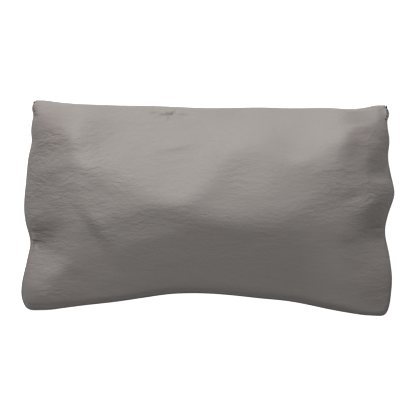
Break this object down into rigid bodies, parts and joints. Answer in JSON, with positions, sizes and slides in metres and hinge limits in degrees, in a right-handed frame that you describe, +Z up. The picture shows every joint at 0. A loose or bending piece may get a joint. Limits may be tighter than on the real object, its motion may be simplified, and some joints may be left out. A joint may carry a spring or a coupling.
{
  "type": "envelope clutch",
  "caption": "Soft leather envelope clutch lying on its flap, back upwards, with a rolled top edge, sewn sides, an open pocket and a hidden magnetic snap.",
  "frame": {"origin": "on the surface that the clutch lies on, under the middle of its footprint", "axes": "+X to the right along the clutch, +Y towards the folded top edge, +Z up, out of the plain back"},
  "size_m": [0.3006, 0.1702, 0.052],
  "materials": {
    "back_leather": "matt, fine grain",
    "front_leather": "matt, fine grain",
    "snap_metal": "satin nickel"
  },
  "bodies": {
    "root": {"back_and_flap": "back_leather", "front_panel": "front_leather", "magnetic_snap": "snap_metal"}
  },
  "joints": []
}
